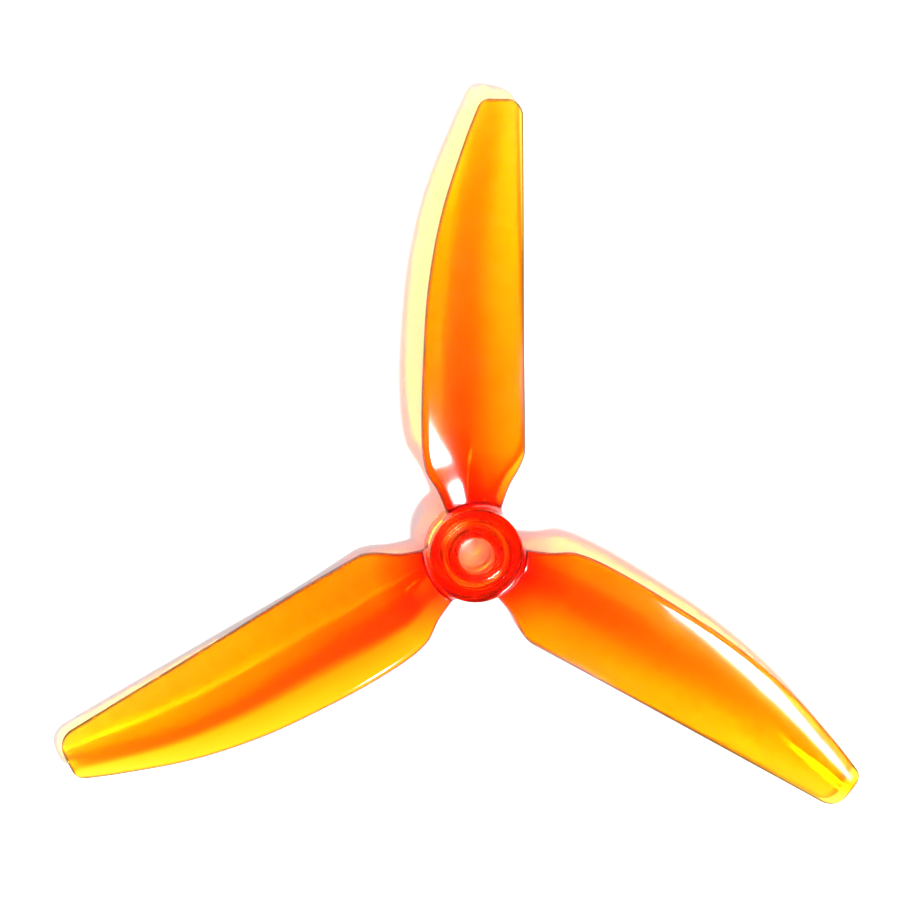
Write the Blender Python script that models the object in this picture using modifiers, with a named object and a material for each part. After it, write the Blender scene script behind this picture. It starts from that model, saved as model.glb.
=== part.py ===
"""A 5-inch three-blade propeller for a small racing drone, in metres, +Z up.

Z is the spin axis and +Z points to the side the nut sits on. The origin is the
balance point on that axis, BALANCE_HEIGHT above the face that rests on the motor.
blade_1 points along +Y. Seen from the nut side the propeller turns anticlockwise,
so blade_1 leads with its -X edge. The other blades are turned copies of it.
"""

import math
from collections import namedtuple

import bmesh
import bpy

MM = 0.001
INCH = 0.0254

# The propeller as a whole
TIP_RADIUS = 2.5 * INCH
PITCH = 4.3 * INCH
BLADES = 3
BALANCE_HEIGHT = 4.69 * MM

# The hub, turned about Z
HUB_RADIUS = 6.6 * MM
HUB_HEIGHT = 7.0 * MM
HUB_CHAMFER = 0.3 * MM
BORE_RADIUS = 2.5 * MM
BORE_CHAMFER = 0.25 * MM
RIM_INNER_RADIUS = 4.8 * MM
GROOVE_DEPTH = 0.6 * MM
BOSS_RADIUS = 3.75 * MM
POCKET_OUTER_RADIUS = 5.0 * MM
POCKET_INNER_RADIUS = 3.8 * MM
POCKET_DEPTH = 3.0 * MM
DRAFT = 0.12 * MM
HUB_STEPS = 64

# The blade's outline, as (radius, distance across the blade) from root to tip
LEADING_EDGE = [
    (radius * MM, across * MM)
    for radius, across in (
        (6.6, -3.75),
        (10.4, -5.2),
        (14.1, -7.0),
        (19.1, -7.57),
        (28.9, -7.25),
        (38.5, -6.38),
        (48.2, -4.3),
        (58.0, -0.82),
        (63.5, 1.5),
    )
]
TRAILING_EDGE = [
    (radius * MM, across * MM)
    for radius, across in (
        (6.6, 3.75),
        (10.4, 5.15),
        (13.3, 6.7),
        (15.3, 7.5),
        (17.0, 7.6),
        (40.0, 7.6),
        (63.5, 7.6),
    )
]
LEADING_CORNER = 1.1 * MM
TRAILING_CORNER = 2.4 * MM

# The blade's sections
THICKNESS = [
    (radius * MM, thick * MM)
    for radius, thick in (
        (6.6, 2.3),
        (12.0, 2.2),
        (20.0, 2.0),
        (30.0, 1.7),
        (40.0, 1.48),
        (50.0, 1.27),
        (63.5, 0.93),
    )
]
PLATE_SHARE = 0.6
PLATE_TAPER = 0.35
SPINE_PLACE = 0.36
SPINE_WIDTH = 0.19
SPINE_ON_TOP = 0.2
CAMBER = 0.082
CAMBER_PEAK = 0.42
PITCH_RADIUS = 0.75 * TIP_RADIUS
TWIST_EASE_RADIUS = 32.0 * MM
ROOT_UNTWIST = 0.45
ROOT_UNTWIST_LENGTH = 22.0 * MM
BLADE_HEIGHT = 4.2 * MM
ROOT_GAP = 0.3 * MM
ROOT_FILLET = 0.8 * MM
TIP_EDGE_LENGTH = 0.3 * MM
TIP_EDGE_ROUNDING = 0.9

# How finely the blade is divided
CHORD_STEPS = 16
FILLET_STEPS = 4
SPAN_STEPS = 26
TIP_STEPS = 6

# Clear orange polycarbonate: the thick hub looks red, the thin blades orange
HUB_COLOUR = (1.0, 0.035, 0.008)
BLADE_COLOUR = (1.0, 0.26, 0.0)
ROUGHNESS = 0.15
CLARITY = 0.6
SHARP_ANGLE = math.radians(30)

Section = namedtuple("Section", "radius lead trail twist thickness swell")


def clear_scene():
    for thing in list(bpy.data.objects):
        bpy.data.objects.remove(thing, do_unlink=True)


def new_collection(name):
    collection = bpy.data.collections.new(name)
    bpy.context.scene.collection.children.link(collection)
    return collection


def clear_plastic(name, colour):
    material = bpy.data.materials.new(name)
    material.use_nodes = True
    inputs = material.node_tree.nodes["Principled BSDF"].inputs
    inputs["Base Color"].default_value = (*colour, 1.0)
    inputs["Roughness"].default_value = ROUGHNESS
    inputs["Metallic"].default_value = 0.0
    inputs["Transmission Weight"].default_value = CLARITY
    material.diffuse_color = (*colour, 1.0)
    return material


def shade(mesh, material):
    """Smooth shading with the corners kept, in one material."""
    mesh.materials.clear()
    mesh.materials.append(material)
    mesh.shade_smooth()
    mesh.set_sharp_from_angle(angle=SHARP_ANGLE)


def eased(share):
    """Goes from 0 to 1 with no corner at either end."""
    share = min(max(share, 0.0), 1.0)
    return share * share * (3 - 2 * share)


def curve_at(points, at):
    """The smooth curve through the (place, value) points, at one place."""
    last = len(points) - 2
    i = max((k for k in range(last + 1) if points[k][0] <= at), default=0)
    before, start, end, after = (points[min(max(k, 0), last + 1)] for k in range(i - 1, i + 3))
    span = end[0] - start[0]
    t = (at - start[0]) / span
    slope_in = span * (end[1] - before[1]) / (end[0] - before[0])
    slope_out = span * (after[1] - start[1]) / (after[0] - start[0])
    rise = eased(t)
    return (
        start[1] + (end[1] - start[1]) * rise
        + slope_in * t * (1 - t) ** 2
        - slope_out * t * t * (1 - t)
    )


def rounded_in(radius, corner):
    """How far a blade edge has drawn in where it rounds into the tip."""
    share = min(max((radius - (TIP_RADIUS - corner)) / corner, 0.0), 1.0)
    return corner * (1 - math.sqrt(1 - share * share))


def twist_at(radius):
    """The blade's angle: true pitch at PITCH_RADIUS, flatter than that towards the root."""
    ease = math.hypot(radius, TWIST_EASE_RADIUS) / math.hypot(PITCH_RADIUS, TWIST_EASE_RADIUS)
    untwist = ROOT_UNTWIST * (1 - eased((radius - HUB_RADIUS) / ROOT_UNTWIST_LENGTH))
    return math.atan(PITCH / (2 * math.pi * PITCH_RADIUS * ease)) * (1 - untwist)


def fillet_at(radius):
    """How much the fillet swells the blade where it meets the hub's wall."""
    left = max(ROOT_FILLET - (radius - HUB_RADIUS - ROOT_GAP), 0.0)
    return ROOT_FILLET - math.sqrt(max(ROOT_FILLET**2 - left * left, 0.0))


def section_at(radius):
    """Everything that shapes the blade on a cylinder of this radius about Z."""
    twist = twist_at(radius)
    swell = fillet_at(radius)
    return Section(
        radius,
        curve_at(LEADING_EDGE, radius) + rounded_in(radius, LEADING_CORNER) - swell * math.cos(twist),
        curve_at(TRAILING_EDGE, radius) - rounded_in(radius, TRAILING_CORNER) + swell * math.cos(twist),
        twist,
        curve_at(THICKNESS, radius),
        swell,
    )


def camber_at(share):
    """A four-digit aerofoil's mean line, in chords above the straight chord."""
    if share < CAMBER_PEAK:
        return CAMBER * share * (2 * CAMBER_PEAK - share) / CAMBER_PEAK**2
    past = 1 - 2 * CAMBER_PEAK + 2 * CAMBER_PEAK * share - share * share
    return CAMBER * past / (1 - CAMBER_PEAK) ** 2


def half_thickness_at(section, share, chord, side):
    """How far the skin lies from the mean line, on the top (side +1) or the underside.

    The section is a thin plate with rounded edges, thickened by a spine that is mostly
    underneath.
    """
    plate = section.thickness / 2 * PLATE_SHARE * (1 - PLATE_TAPER * share**3) + section.swell
    spine = section.thickness * (1 - PLATE_SHARE) * math.exp(-((share - SPINE_PLACE) / SPINE_WIDTH) ** 2)
    short = max(1 - min(share, 1 - share) * chord / plate, 0.0)
    tip = max((section.radius - TIP_RADIUS) / TIP_EDGE_LENGTH + 1, 0.0) * TIP_EDGE_ROUNDING
    spine_share = SPINE_ON_TOP if side > 0 else 1 - SPINE_ON_TOP
    return (plate + spine * spine_share) * math.sqrt(1 - short * short) * math.sqrt(1 - tip * tip)


def skin_point(section, share, side):
    """A point on the blade's skin: share 0 is the leading edge, side +1 the top."""
    slope = math.tan(section.twist)
    across = section.lead + (section.trail - section.lead) * share
    chord = (section.trail - section.lead) / math.cos(section.twist)
    offset = camber_at(share) * chord + side * half_thickness_at(section, share, chord, side)
    x = across + offset * math.sin(section.twist)
    z = BLADE_HEIGHT - across * slope + offset * math.cos(section.twist)
    return x, math.sqrt(section.radius**2 - x * x), z - BALANCE_HEIGHT


def section_ring(section):
    """Points round one section: the top from front to back, then the underside back."""
    shares = [(1 - math.cos(math.pi * k / CHORD_STEPS)) / 2 for k in range(CHORD_STEPS + 1)]
    top = [skin_point(section, share, 1) for share in shares]
    underside = [skin_point(section, share, -1) for share in shares[-2:0:-1]]
    return top + underside


def station_radii():
    """Where the sections lie: close together in the root fillet and the tip corners."""
    quarter = math.pi / 2
    wall = HUB_RADIUS + ROOT_GAP
    corner_start = TIP_RADIUS - TRAILING_CORNER
    straight = corner_start - wall - ROOT_FILLET
    fillet = [wall + ROOT_FILLET * (1 - math.cos(quarter * k / FILLET_STEPS)) for k in range(FILLET_STEPS)]
    span = [wall + ROOT_FILLET + straight * k / SPAN_STEPS for k in range(SPAN_STEPS)]
    tip = [corner_start + TRAILING_CORNER * math.sin(quarter * k / TIP_STEPS) for k in range(TIP_STEPS + 1)]
    return fillet + span + tip


def close_end(shape, ring, flip):
    """Closes an end with strips from the section's top to its underside."""
    count = len(ring)
    for k in range(CHORD_STEPS):
        corners = [ring[k], ring[k + 1], ring[(count - k - 1) % count], ring[(count - k) % count]]
        corners = list(dict.fromkeys(corners))
        shape.faces.new(corners[::-1] if flip else corners)


def blade_mesh(material):
    """A blade along +Y, lofted through its sections."""
    shape = bmesh.new()
    rings = []
    for radius in station_radii():
        rings.append([shape.verts.new(point) for point in section_ring(section_at(radius))])
    for inner, outer in zip(rings, rings[1:]):
        for k in range(len(inner)):
            after = (k + 1) % len(inner)
            shape.faces.new((inner[k], inner[after], outer[after], outer[k]))
    close_end(shape, rings[0], flip=True)
    close_end(shape, rings[-1], flip=False)
    mesh = bpy.data.meshes.new("blade")
    shape.to_mesh(mesh)
    shape.free()
    shade(mesh, material)
    return mesh


def hub_outline():
    """(radius, height over the motor seat) round the hub's wall, down its outside first."""
    groove_floor = HUB_HEIGHT - GROOVE_DEPTH
    return [
        (RIM_INNER_RADIUS, HUB_HEIGHT),
        (HUB_RADIUS - HUB_CHAMFER, HUB_HEIGHT),
        (HUB_RADIUS, HUB_HEIGHT - HUB_CHAMFER),
        (HUB_RADIUS, HUB_CHAMFER),
        (HUB_RADIUS - HUB_CHAMFER, 0.0),
        (POCKET_OUTER_RADIUS, 0.0),
        (POCKET_OUTER_RADIUS - DRAFT, POCKET_DEPTH),
        (POCKET_INNER_RADIUS + DRAFT, POCKET_DEPTH),
        (POCKET_INNER_RADIUS, 0.0),
        (BORE_RADIUS + BORE_CHAMFER, 0.0),
        (BORE_RADIUS, BORE_CHAMFER),
        (BORE_RADIUS, HUB_HEIGHT - BORE_CHAMFER),
        (BORE_RADIUS + BORE_CHAMFER, HUB_HEIGHT),
        (BOSS_RADIUS, HUB_HEIGHT),
        (BOSS_RADIUS + DRAFT, groove_floor),
        (RIM_INNER_RADIUS - DRAFT, groove_floor),
    ]


def turned(name, outline, collection):
    """A solid turned about Z from a closed outline of (radius, height) points."""
    mesh = bpy.data.meshes.new(name)
    points = [(radius, 0.0, height - BALANCE_HEIGHT) for radius, height in outline]
    edges = [(k, (k + 1) % len(points)) for k in range(len(points))]
    mesh.from_pydata(points, edges, [])
    piece = bpy.data.objects.new(name, mesh)
    collection.objects.link(piece)
    screw = piece.modifiers.new("turn", "SCREW")
    screw.axis = "Z"
    screw.angle = 2 * math.pi
    screw.steps = HUB_STEPS
    screw.render_steps = HUB_STEPS
    screw.use_merge_vertices = True
    screw.merge_threshold = 0.01 * MM
    return piece


def apply_modifiers(piece):
    graph = bpy.context.evaluated_depsgraph_get()
    made = bpy.data.meshes.new_from_object(piece.evaluated_get(graph))
    piece.modifiers.clear()
    piece.data = made


def make_hub(collection):
    hub = turned("hub", hub_outline(), collection)
    apply_modifiers(hub)
    shade(hub.data, clear_plastic("hub_polycarbonate", HUB_COLOUR))


def make_blades(collection):
    """The blades share one mesh, each turned to its own place about the spin axis."""
    mesh = blade_mesh(clear_plastic("blade_polycarbonate", BLADE_COLOUR))
    for number in range(BLADES):
        blade = bpy.data.objects.new(f"blade_{number + 1}", mesh)
        blade.rotation_euler.z = 2 * math.pi * number / BLADES
        collection.objects.link(blade)


def main():
    clear_scene()
    parts = new_collection("propeller")
    make_hub(parts)
    make_blades(parts)


main()
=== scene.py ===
"""The looks of a three-blade propeller moulded in clear orange polycarbonate.

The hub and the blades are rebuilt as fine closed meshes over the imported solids. Their
plastic bends light and soaks up blue and green on the way through, so thin edges look
yellow, the blades orange and the thick hub red. Lengths are in metres.
"""

import math
from collections import namedtuple

import bpy
import numpy as np
from mathutils import Matrix, Vector


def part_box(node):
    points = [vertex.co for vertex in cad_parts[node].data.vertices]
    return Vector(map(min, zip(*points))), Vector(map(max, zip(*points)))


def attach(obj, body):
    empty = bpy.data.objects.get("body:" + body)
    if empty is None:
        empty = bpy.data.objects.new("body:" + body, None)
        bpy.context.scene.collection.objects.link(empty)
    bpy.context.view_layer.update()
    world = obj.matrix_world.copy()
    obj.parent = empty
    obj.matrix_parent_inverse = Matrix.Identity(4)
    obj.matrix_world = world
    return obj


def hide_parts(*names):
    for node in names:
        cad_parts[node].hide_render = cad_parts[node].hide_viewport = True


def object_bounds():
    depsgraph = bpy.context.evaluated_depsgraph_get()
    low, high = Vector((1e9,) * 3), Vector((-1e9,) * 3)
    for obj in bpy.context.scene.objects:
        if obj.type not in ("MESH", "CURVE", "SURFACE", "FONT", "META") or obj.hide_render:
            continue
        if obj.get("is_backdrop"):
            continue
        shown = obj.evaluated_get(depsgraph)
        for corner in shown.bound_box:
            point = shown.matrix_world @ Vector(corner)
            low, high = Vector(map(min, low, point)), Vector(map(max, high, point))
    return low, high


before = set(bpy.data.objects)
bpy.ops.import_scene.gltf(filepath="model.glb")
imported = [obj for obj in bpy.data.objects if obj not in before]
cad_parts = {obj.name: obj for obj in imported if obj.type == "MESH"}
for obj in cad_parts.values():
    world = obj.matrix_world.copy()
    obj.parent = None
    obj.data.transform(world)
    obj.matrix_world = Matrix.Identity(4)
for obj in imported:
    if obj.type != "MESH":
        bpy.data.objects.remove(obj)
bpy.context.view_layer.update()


def farthest_from_axis(node):
    """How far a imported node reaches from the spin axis."""
    return max(corner.co.xy.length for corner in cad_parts[node].data.vertices)


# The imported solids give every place: the spin axis is Z, and blade_1 points along +Y.
TIP_RADIUS = farthest_from_axis("blade_1")
HUB_RADIUS = farthest_from_axis("hub")
SEAT_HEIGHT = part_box("hub")[0].z
HUB_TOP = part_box("hub")[1].z
FLOOR_HEIGHT = min(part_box(node)[0].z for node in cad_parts)
BLADE_NODES = sorted(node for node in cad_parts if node.startswith("blade"))

# A millimetre, from the circle that the tips run on
TIP_RADIUS_MM = 63.5
MM = TIP_RADIUS / TIP_RADIUS_MM

# The blade's outline in millimetres, as (radius, distance across the blade)
LEADING_EDGE = [
    (6.6, -3.75),
    (10.4, -5.2),
    (14.1, -7.0),
    (19.1, -7.57),
    (28.9, -7.25),
    (38.5, -6.38),
    (48.2, -4.3),
    (58.0, -0.82),
    (63.5, 1.5),
]
TRAILING_EDGE = [
    (6.6, 3.75),
    (10.4, 5.15),
    (13.3, 6.7),
    (15.3, 7.5),
    (17.0, 7.6),
    (40.0, 7.6),
    (63.5, 7.6),
]

# How thick the blade is, in millimetres by radius
THICKNESS = [
    (6.6, 2.3),
    (12.0, 2.2),
    (20.0, 2.0),
    (30.0, 1.7),
    (40.0, 1.48),
    (50.0, 1.27),
    (63.5, 0.93),
]

# How the outline rounds into the tip
LEADING_CORNER = 1.1 * MM
TRAILING_CORNER = 2.4 * MM

# The blade's sections, with places and heights in shares of the chord or of the thickness
PLATE_SHARE = 0.6
PLATE_TAPER = 0.35
SPINE_PLACE = 0.36
SPINE_WIDTH = 0.19
SPINE_ON_TOP = 0.2
CAMBER = 0.082
CAMBER_PEAK = 0.42
INCH = 25.4 * MM
PITCH = 4.3 * INCH
PITCH_RADIUS = 0.75 * TIP_RADIUS
TWIST_EASE_RADIUS = 32.0 * MM
ROOT_UNTWIST = 0.45
ROOT_UNTWIST_LENGTH = 22.0 * MM
BLADE_HEIGHT = 4.2 * MM
SEAM = 0.03 * MM
ROOT_FILLET = 0.8 * MM
TIP_EDGE_LENGTH = 0.35 * MM
TIP_EDGE_ROUNDING = 0.97

# The hub's outline
RIM_INNER_RADIUS = 4.8 * MM
GROOVE_DEPTH = 0.6 * MM
BOSS_RADIUS = 3.75 * MM
BORE_RADIUS = 2.5 * MM
POCKET_OUTER_RADIUS = 5.0 * MM
POCKET_INNER_RADIUS = 3.8 * MM
POCKET_DEPTH = 3.0 * MM
DRAFT = 0.12 * MM
OUTER_ROUNDING = 0.32 * MM
BORE_ROUNDING = 0.25 * MM
SMALL_ROUNDING = 0.12 * MM

# How finely the meshes are divided
CHORD_STEPS = 44
FILLET_STEPS = 12
SPAN_STEPS = 120
TIP_STEPS = 18
HUB_STEPS = 240
ARC_STEPS = 5
WELD_DISTANCE = 0.0001 * MM
SHARP_ANGLE = math.radians(50)

# Tinted polycarbonate. Light fades by exp(-loss_per_mm) in each millimetre, by colour. The
# roughness lies between two values. The flow marks are as wide as they are drawn at
# flow_radius, and longer outwards by 1 / stretch. root_green is painted shade: the share
# of green left at the root of a blade, which makes it redder next to the hub, in place of the
# light that thicker plastic would filter there.
Plastic = namedtuple("Plastic", "name loss_per_mm roughness flow_radius stretch root_green")
BLADE_PLASTIC = Plastic(
    "blade_plastic",
    loss_per_mm=(0.011, 0.94, 5.5),
    roughness=(0.08, 0.14),
    flow_radius=30.0 * MM,
    stretch=0.2,
    root_green=0.12,
)
HUB_PLASTIC = Plastic(
    "hub_plastic",
    loss_per_mm=(0.02, 0.36, 3.5),
    roughness=(0.0, 0.02),
    flow_radius=5.0 * MM,
    stretch=1.0,
    root_green=1.0,
)
REFRACTION = 1.585
# How far out from the hub the painted root shade reaches
ROOT_SHADE_LENGTH = 8.0 * MM
FLOW_MARK_GREEN = 0.9
SKIN_BLUE = 0.85

# Patterns in the skin: about how many to a metre, and how deep and strong the reliefs are
HAZE_SCALE = 240.0
FLOW_SCALE = 420.0
FLOW_SWIRL = 0.6
RIPPLE_DEPTH = 0.02 * MM
RIPPLE_STRENGTH = 0.3
GRAIN_SCALE = 2600.0
GRAIN_DEPTH = 0.004 * MM
GRAIN_STRENGTH = 0.15

# Painted shade: dark lines round the blades' outline and along the hub's edges, where the rounded
# edges bend the light away
EDGE_SHADE_WIDTH = 0.45 * MM
EDGE_RINGS = [BOSS_RADIUS, RIM_INNER_RADIUS, HUB_RADIUS - OUTER_ROUNDING / 2]
RING_WIDTH = 0.24 * MM
RING_DARKNESS = 0.7

# The stage: metres, degrees and watts
CAMERA_DISTANCE = 2.0
CAMERA_AZIMUTH = 125.0
CAMERA_ELEVATION = 79.0
CAMERA_ROLL = 1.5
FRAME_SPAN = 0.1275
SENSOR = 36.0
LAMP_DISTANCE = 0.6
LAMP_AZIMUTH = -52.0
LAMP_ELEVATION = 63.0
LAMP_SIZE = 0.07
LAMP_POWER = 7.0
FLOOR_RADIUS = 1.5
FLOOR_STEPS = 96
FLOOR_GAP = 0.02 * MM
FLOOR_GREY = 0.9
FLOOR_ROUGHNESS = 0.9
FLOOR_GLOSS = 0.1
ROOM_BRIGHTNESS = [
    ("Is Camera Ray", 1.0),
    ("Is Diffuse Ray", 0.95),
    ("Is Transmission Ray", 1.6),
    ("Is Glossy Ray", 0.05),
]

Section = namedtuple("Section", "radius lead trail twist thickness swell")


def eased(share):
    """Goes from 0 to 1 with no corner at either end."""
    share = min(max(share, 0.0), 1.0)
    return share * share * (3 - 2 * share)


def curve_at(points, radius):
    """The smooth curve through the (radius, value) points in MM, in metres at a radius."""
    at = radius / MM
    last = len(points) - 2
    i = max((k for k in range(last + 1) if points[k][0] <= at), default=0)
    before, start, end, after = (points[min(max(k, 0), last + 1)] for k in range(i - 1, i + 3))
    span = end[0] - start[0]
    t = (at - start[0]) / span
    slope_in = span * (end[1] - before[1]) / (end[0] - before[0])
    slope_out = span * (after[1] - start[1]) / (after[0] - start[0])
    value = (
        start[1] + (end[1] - start[1]) * eased(t)
        + slope_in * t * (1 - t) ** 2
        - slope_out * t * t * (1 - t)
    )
    return value * MM


def rounded_in(radius, corner):
    """How far a blade edge has drawn in where it rounds into the tip."""
    share = min(max((radius - (TIP_RADIUS - corner)) / corner, 0.0), 1.0)
    return corner * (1 - math.sqrt(1 - share * share))


def twist_at(radius):
    """The blade's angle: true pitch at PITCH_RADIUS, flatter than that towards the root."""
    ease = math.hypot(radius, TWIST_EASE_RADIUS) / math.hypot(PITCH_RADIUS, TWIST_EASE_RADIUS)
    untwist = ROOT_UNTWIST * (1 - eased((radius - HUB_RADIUS) / ROOT_UNTWIST_LENGTH))
    return math.atan(PITCH / (2 * math.pi * PITCH_RADIUS * ease)) * (1 - untwist)


def fillet_at(radius):
    """How much the fillet swells the blade where it meets the hub's wall."""
    left = max(ROOT_FILLET - (radius - HUB_RADIUS - SEAM), 0.0)
    return ROOT_FILLET - math.sqrt(max(ROOT_FILLET**2 - left * left, 0.0))


def section_at(radius):
    """Everything that shapes the blade on a cylinder of this radius about Z."""
    twist = twist_at(radius)
    swell = fillet_at(radius)
    spread = swell * math.cos(twist)
    return Section(
        radius,
        curve_at(LEADING_EDGE, radius) + rounded_in(radius, LEADING_CORNER) - spread,
        curve_at(TRAILING_EDGE, radius) - rounded_in(radius, TRAILING_CORNER) + spread,
        twist,
        curve_at(THICKNESS, radius),
        swell,
    )


def camber_line(shares):
    """A four-digit aerofoil's mean line, in chords above the straight chord."""
    front = shares * (2 * CAMBER_PEAK - shares) / CAMBER_PEAK**2
    back = (1 - 2 * CAMBER_PEAK + 2 * CAMBER_PEAK * shares - shares**2) / (1 - CAMBER_PEAK) ** 2
    return CAMBER * np.where(shares < CAMBER_PEAK, front, back)


def skin(section, shares, side):
    """Points on the blade's skin from leading to trailing edge: side +1 is the top.

    A blade is a thin plate with rounded edges that follows the mean line, and a spine
    thickens it underneath.
    """
    chord = (section.trail - section.lead) / math.cos(section.twist)
    across = section.lead + (section.trail - section.lead) * shares
    plate = section.thickness / 2 * PLATE_SHARE * (1 - PLATE_TAPER * shares**3) + section.swell
    hump = np.exp(-(((shares - SPINE_PLACE) / SPINE_WIDTH) ** 2))
    spine = section.thickness * (1 - PLATE_SHARE) * hump
    short = np.maximum(1 - np.minimum(shares, 1 - shares) * chord / plate, 0.0)
    tip = max((section.radius - TIP_RADIUS) / TIP_EDGE_LENGTH + 1, 0.0) * TIP_EDGE_ROUNDING
    spine *= SPINE_ON_TOP if side > 0 else 1 - SPINE_ON_TOP
    depth = side * (plate + spine) * np.sqrt(1 - short**2) * math.sqrt(1 - tip * tip)
    offset = camber_line(shares) * chord + depth
    x = across + offset * math.sin(section.twist)
    z = BLADE_HEIGHT - across * math.tan(section.twist) + offset * math.cos(section.twist)
    return np.column_stack([x, np.sqrt(section.radius**2 - x * x), z + SEAT_HEIGHT])


def section_ring(section):
    """Points round one section: the top from front to back, then the underside back."""
    shares = (1 - np.cos(np.linspace(0, math.pi, CHORD_STEPS + 1))) / 2
    return np.vstack([skin(section, shares, 1), skin(section, shares[-2:0:-1], -1)])


def painted_edge_shade(ring, section):
    """How dark each point of a ring is painted: most at the outline, a painted shade for the light
    that the rounded edge bends away.
    """
    x = ring[:, 0]
    inside = np.minimum(x - x.min(), x.max() - x)
    inside = np.minimum(inside, TIP_RADIUS - section.radius)
    return 1 - np.clip(inside / EDGE_SHADE_WIDTH, 0.0, 1.0) ** 2


def station_radii():
    """Where the sections lie: close together in the root fillet and the tip corners."""
    wall = HUB_RADIUS + SEAM
    corner_start = TIP_RADIUS - TRAILING_CORNER
    quarter = math.pi / 2
    turns = np.linspace(0, quarter, FILLET_STEPS, endpoint=False)
    fillet = wall + ROOT_FILLET * (1 - np.cos(turns))
    span = np.linspace(wall + ROOT_FILLET, corner_start, SPAN_STEPS, endpoint=False)
    tip = corner_start + TRAILING_CORNER * np.sin(np.linspace(0, quarter, TIP_STEPS + 1))
    return np.concatenate([fillet, span, tip])


def end_faces(first, count, flip):
    """Strips that close a ring of points from its top to its underside."""
    faces = []
    for k in range(count // 2):
        corners = [k, k + 1, (count - k - 1) % count, (count - k) % count]
        corners = [first + corner for corner in dict.fromkeys(corners)]
        faces.append(corners[::-1] if flip else corners)
    return faces


def blade_mesh():
    """A blade along +Y, lofted through its sections."""
    sections = [section_at(radius) for radius in station_radii()]
    rings = [section_ring(section) for section in sections]
    count = len(rings[0])
    faces = end_faces(0, count, flip=True)
    for row in range(len(rings) - 1):
        start = row * count
        for k in range(count):
            after = (k + 1) % count
            faces.append((start + k, start + after, start + count + after, start + count + k))
    faces += end_faces((len(rings) - 1) * count, count, flip=False)
    mesh = bpy.data.meshes.new("blade_skin")
    mesh.from_pydata(np.vstack(rings).tolist(), [], faces)
    # Painted shade along the outline, kept on the points for the material
    marks = np.concatenate([painted_edge_shade(ring, at) for ring, at in zip(rings, sections)])
    mesh.attributes.new("painted_edge_shade", "FLOAT", "POINT").data.foreach_set("value", marks)
    mesh.shade_smooth()
    mesh.set_sharp_from_angle(angle=SHARP_ANGLE)
    return mesh


def rounded_outline(corners):
    """A closed outline through (radius, height, rounding) corners, each cut by an arc."""
    points = []
    for k, (radius, height, rounding) in enumerate(corners):
        here = Vector((radius, height))
        back = (Vector(corners[k - 1][:2]) - here).normalized()
        on = (Vector(corners[(k + 1) % len(corners)][:2]) - here).normalized()
        half = back.angle(on) / 2
        centre = here + (back + on).normalized() * (rounding / math.sin(half))
        start = here + back * (rounding / math.tan(half)) - centre
        end = here + on * (rounding / math.tan(half)) - centre
        for step in range(ARC_STEPS + 1):
            points.append(centre + start.slerp(end, step / ARC_STEPS).normalized() * rounding)
    return points


def hub_outline():
    """Round the hub's wall: down the outside, in along the seat and up the shaft hole."""
    groove = HUB_TOP - GROOVE_DEPTH
    pocket = SEAT_HEIGHT + POCKET_DEPTH
    return rounded_outline([
        (RIM_INNER_RADIUS, HUB_TOP, SMALL_ROUNDING),
        (HUB_RADIUS, HUB_TOP, OUTER_ROUNDING),
        (HUB_RADIUS, SEAT_HEIGHT, OUTER_ROUNDING),
        (POCKET_OUTER_RADIUS, SEAT_HEIGHT, SMALL_ROUNDING),
        (POCKET_OUTER_RADIUS - DRAFT, pocket, BORE_ROUNDING),
        (POCKET_INNER_RADIUS + DRAFT, pocket, BORE_ROUNDING),
        (POCKET_INNER_RADIUS, SEAT_HEIGHT, SMALL_ROUNDING),
        (BORE_RADIUS, SEAT_HEIGHT, BORE_ROUNDING),
        (BORE_RADIUS, HUB_TOP, BORE_ROUNDING),
        (BOSS_RADIUS, HUB_TOP, SMALL_ROUNDING),
        (BOSS_RADIUS + DRAFT, groove, SMALL_ROUNDING),
        (RIM_INNER_RADIUS - DRAFT, groove, SMALL_ROUNDING),
    ])


def turned(name, outline):
    """A solid turned about Z from a closed outline of (radius, height) points."""
    mesh = bpy.data.meshes.new(name)
    points = [(radius, 0.0, height) for radius, height in outline]
    mesh.from_pydata(points, [(k, (k + 1) % len(points)) for k in range(len(points))], [])
    piece = bpy.data.objects.new(name, mesh)
    bpy.context.scene.collection.objects.link(piece)
    screw = piece.modifiers.new("turn", "SCREW")
    screw.axis = "Z"
    screw.angle = 2 * math.pi
    screw.steps = HUB_STEPS
    screw.render_steps = HUB_STEPS
    screw.use_merge_vertices = True
    screw.merge_threshold = WELD_DISTANCE
    graph = bpy.context.evaluated_depsgraph_get()
    made = bpy.data.meshes.new_from_object(piece.evaluated_get(graph))
    piece.modifiers.clear()
    piece.data = made
    piece.data.shade_smooth()
    piece.modifiers.new("even_shading", "WEIGHTED_NORMAL")
    return piece


def node(tree, kind, operation=None, **inputs):
    """A shader node with some of its inputs set or linked, by name with _ for a space."""
    made = tree.nodes.new(kind)
    if operation:
        made.operation = operation
    for name, value in inputs.items():
        socket = made.inputs[name.replace("_", " ")]
        if isinstance(value, bpy.types.NodeSocket):
            tree.links.new(value, socket)
        else:
            socket.default_value = value
    return made


def maths(tree, operation, *values):
    """The result of a Math node whose inputs are numbers or links."""
    made = node(tree, "ShaderNodeMath", operation)
    for socket, value in zip(made.inputs, values):
        if isinstance(value, bpy.types.NodeSocket):
            tree.links.new(value, socket)
        else:
            socket.default_value = value
    return made.outputs[0]


def along_the_flow(tree, parts, reach, plastic):
    """The way the plastic ran, which the flow marks follow: round the axis, outwards and up."""
    turn = maths(tree, "ARCTAN2", parts.outputs["X"], parts.outputs["Y"])
    return node(
        tree,
        "ShaderNodeCombineXYZ",
        X=maths(tree, "MULTIPLY", turn, plastic.flow_radius),
        Y=maths(tree, "MULTIPLY", reach, plastic.stretch),
        Z=parts.outputs["Z"],
    ).outputs["Vector"]


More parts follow.
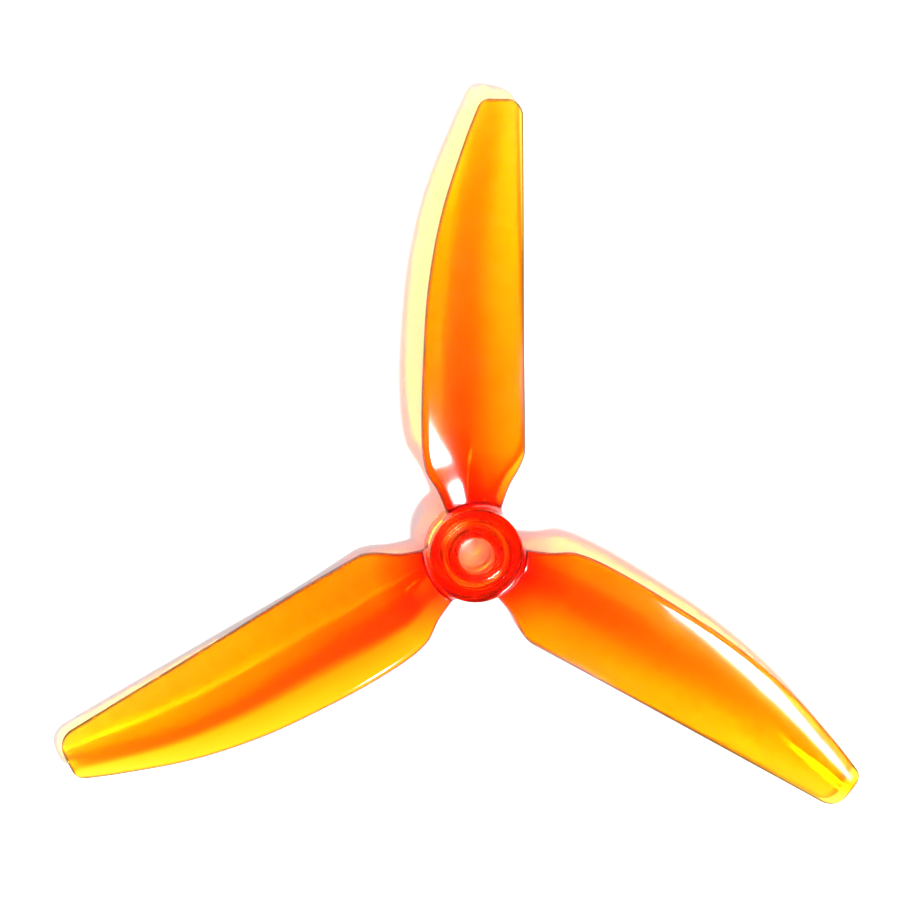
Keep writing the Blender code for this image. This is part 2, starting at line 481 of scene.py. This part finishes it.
def tint(tree, flow, reach, plastic):
    """Colour at the skin: faint flow marks, and painted shade: a redder root, dark lines round the
    blades' outline and along the hub's edges.
    """
    marks = node(tree, "ShaderNodeMapRange", Value=flow, To_Min=FLOW_MARK_GREEN, To_Max=1.0)
    # Painted shade: less green near the hub, so the root looks redder
    root = node(
        tree,
        "ShaderNodeMapRange",
        Value=reach,
        From_Min=HUB_RADIUS,
        From_Max=HUB_RADIUS + ROOT_SHADE_LENGTH,
        To_Min=plastic.root_green,
        To_Max=1.0,
    )
    green = maths(tree, "MULTIPLY", marks.outputs["Result"], root.outputs["Result"])
    colour = node(tree, "ShaderNodeCombineColor", Red=1.0, Green=green, Blue=SKIN_BLUE)
    # Painted shade at the blades' outline, from the points' attribute
    edge_shade = tree.nodes.new("ShaderNodeAttribute")
    edge_shade.attribute_name = "painted_edge_shade"
    left = maths(tree, "SUBTRACT", 1.0, edge_shade.outputs["Fac"])
    # Painted shade in rings along the hub's rounded edges
    for ring in EDGE_RINGS:
        away = maths(tree, "ABSOLUTE", maths(tree, "SUBTRACT", reach, ring))
        shade = node(
            tree,
            "ShaderNodeMapRange",
            Value=away,
            From_Max=RING_WIDTH,
            To_Min=1 - RING_DARKNESS,
        )
        left = maths(tree, "MULTIPLY", left, shade.outputs["Result"])
    return node(
        tree, "ShaderNodeVectorMath", "SCALE", Vector=colour.outputs["Color"], Scale=left
    ).outputs["Vector"]


def clear_plastic(plastic):
    """Tinted clear polycarbonate as it comes out of a polished mould, rippled by a few microns."""
    material = bpy.data.materials.new(plastic.name)
    material.use_nodes = True
    tree = material.node_tree
    tree.nodes.clear()
    place = node(tree, "ShaderNodeTexCoord").outputs["Object"]
    parts = node(tree, "ShaderNodeSeparateXYZ", Vector=place)
    level = node(tree, "ShaderNodeCombineXYZ", X=parts.outputs["X"], Y=parts.outputs["Y"])
    reach = node(tree, "ShaderNodeVectorMath", "LENGTH", Vector=level.outputs[0]).outputs["Value"]
    haze = node(tree, "ShaderNodeTexNoise", Vector=place, Scale=HAZE_SCALE, Detail=6.0)
    smooth, matt = plastic.roughness
    rough = node(tree, "ShaderNodeMapRange", Value=haze.outputs["Fac"], To_Min=smooth, To_Max=matt)
    flow = node(
        tree,
        "ShaderNodeTexNoise",
        Vector=along_the_flow(tree, parts, reach, plastic),
        Scale=FLOW_SCALE,
        Detail=4.0,
        Distortion=FLOW_SWIRL,
    )
    ripple = node(
        tree,
        "ShaderNodeBump",
        Strength=RIPPLE_STRENGTH,
        Distance=RIPPLE_DEPTH,
        Height=flow.outputs["Fac"],
    )
    grain = node(tree, "ShaderNodeTexNoise", Vector=place, Scale=GRAIN_SCALE, Detail=2.0)
    skin_bump = node(
        tree,
        "ShaderNodeBump",
        Strength=GRAIN_STRENGTH,
        Distance=GRAIN_DEPTH,
        Height=grain.outputs["Fac"],
        Normal=ripple.outputs["Normal"],
    )
    surface = node(
        tree,
        "ShaderNodeBsdfPrincipled",
        Base_Color=tint(tree, flow.outputs["Fac"], reach, plastic),
        Roughness=rough.outputs["Result"],
        Normal=skin_bump.outputs["Normal"],
        Transmission_Weight=1.0,
        IOR=REFRACTION,
    )
    strongest = max(plastic.loss_per_mm)
    passed = [1 - loss / strongest for loss in plastic.loss_per_mm]
    inside = node(tree, "ShaderNodeVolumeAbsorption", Color=(*passed, 1.0), Density=strongest / MM)
    node(
        tree,
        "ShaderNodeOutputMaterial",
        Surface=surface.outputs["BSDF"],
        Volume=inside.outputs["Volume"],
    )
    return material


def settle(piece, name, material):
    """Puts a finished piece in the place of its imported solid."""
    piece.data.materials.append(material)
    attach(piece, "root")
    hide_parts(name)


def make_hub():
    hub = turned("hub_moulding", hub_outline())
    settle(hub, "hub", clear_plastic(HUB_PLASTIC))


def make_blades():
    first = blade_mesh()
    material = clear_plastic(BLADE_PLASTIC)
    for number, name in enumerate(BLADE_NODES):
        mesh = first.copy()
        mesh.transform(Matrix.Rotation(2 * math.pi * number / len(BLADE_NODES), 4, "Z"))
        blade = bpy.data.objects.new(name + "_moulding", mesh)
        bpy.context.scene.collection.objects.link(blade)
        settle(blade, name, material)
    bpy.data.meshes.remove(first)


def make_floor():
    bpy.ops.mesh.primitive_circle_add(
        vertices=FLOOR_STEPS,
        radius=FLOOR_RADIUS,
        fill_type="NGON",
        location=(0, 0, FLOOR_HEIGHT - FLOOR_GAP),
    )
    floor = bpy.context.object
    floor.name = "floor"
    material = bpy.data.materials.new("floor_white")
    material.use_nodes = True
    shader = material.node_tree.nodes["Principled BSDF"]
    shader.inputs["Base Color"].default_value = (FLOOR_GREY, FLOOR_GREY, FLOOR_GREY, 1.0)
    shader.inputs["Roughness"].default_value = FLOOR_ROUGHNESS
    shader.inputs["Specular IOR Level"].default_value = FLOOR_GLOSS
    floor.data.materials.append(material)
    floor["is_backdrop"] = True


def towards(azimuth, elevation, distance):
    """A point at this distance from the origin, azimuth counted from +X."""
    a, e = math.radians(azimuth), math.radians(elevation)
    return Vector((math.cos(a) * math.cos(e), math.sin(a) * math.cos(e), math.sin(e))) * distance


def make_lamp():
    """One small square softbox that faces the propeller."""
    data = bpy.data.lights.new("key", "AREA")
    data.size = LAMP_SIZE
    data.energy = LAMP_POWER
    lamp = bpy.data.objects.new("key", data)
    lamp.location = towards(LAMP_AZIMUTH, LAMP_ELEVATION, LAMP_DISTANCE)
    lamp.rotation_euler = (-lamp.location).to_track_quat("-Z", "Y").to_euler()
    bpy.context.scene.collection.objects.link(lamp)


def make_world():
    """A pale room: dim where the plastic mirrors it, and brighter through the plastic."""
    world = bpy.data.worlds.new("room")
    world.use_nodes = True
    tree = world.node_tree
    tree.nodes.clear()
    path = node(tree, "ShaderNodeLightPath")
    strength = 0.0
    for kind, seen in ROOM_BRIGHTNESS:
        strength = maths(tree, "MULTIPLY_ADD", path.outputs[kind], seen, strength)
    air = node(tree, "ShaderNodeBackground", Color=(1, 1, 1, 1), Strength=strength)
    node(tree, "ShaderNodeOutputWorld", Surface=air.outputs[0])
    bpy.context.scene.world = world


def make_camera():
    data = bpy.data.cameras.new("camera")
    data.sensor_width = SENSOR
    data.lens = SENSOR * CAMERA_DISTANCE / FRAME_SPAN
    camera = bpy.data.objects.new("camera", data)
    low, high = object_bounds()
    centre = (low + high) / 2
    back = towards(CAMERA_AZIMUTH, CAMERA_ELEVATION, CAMERA_DISTANCE)
    right = towards(-CAMERA_ROLL, 0, 1)
    up = back.cross(right).normalized()
    right = up.cross(back).normalized()
    camera.matrix_world = Matrix((right, up, back.normalized())).transposed().to_4x4()
    camera.location = centre + back
    bpy.context.scene.collection.objects.link(camera)
    bpy.context.scene.camera = camera


# Enough bounces, unblurred and unclamped, for light that goes in and out of the plastic
bpy.context.scene.view_settings.view_transform = "Standard"
cycles = bpy.context.scene.cycles
cycles.glossy_bounces = 12
cycles.max_bounces = 16
cycles.transmission_bounces = 16
cycles.sample_clamp_indirect = 0.0
cycles.blur_glossy = 0.0
make_hub()
make_blades()
make_floor()
make_lamp()
make_world()
make_camera()
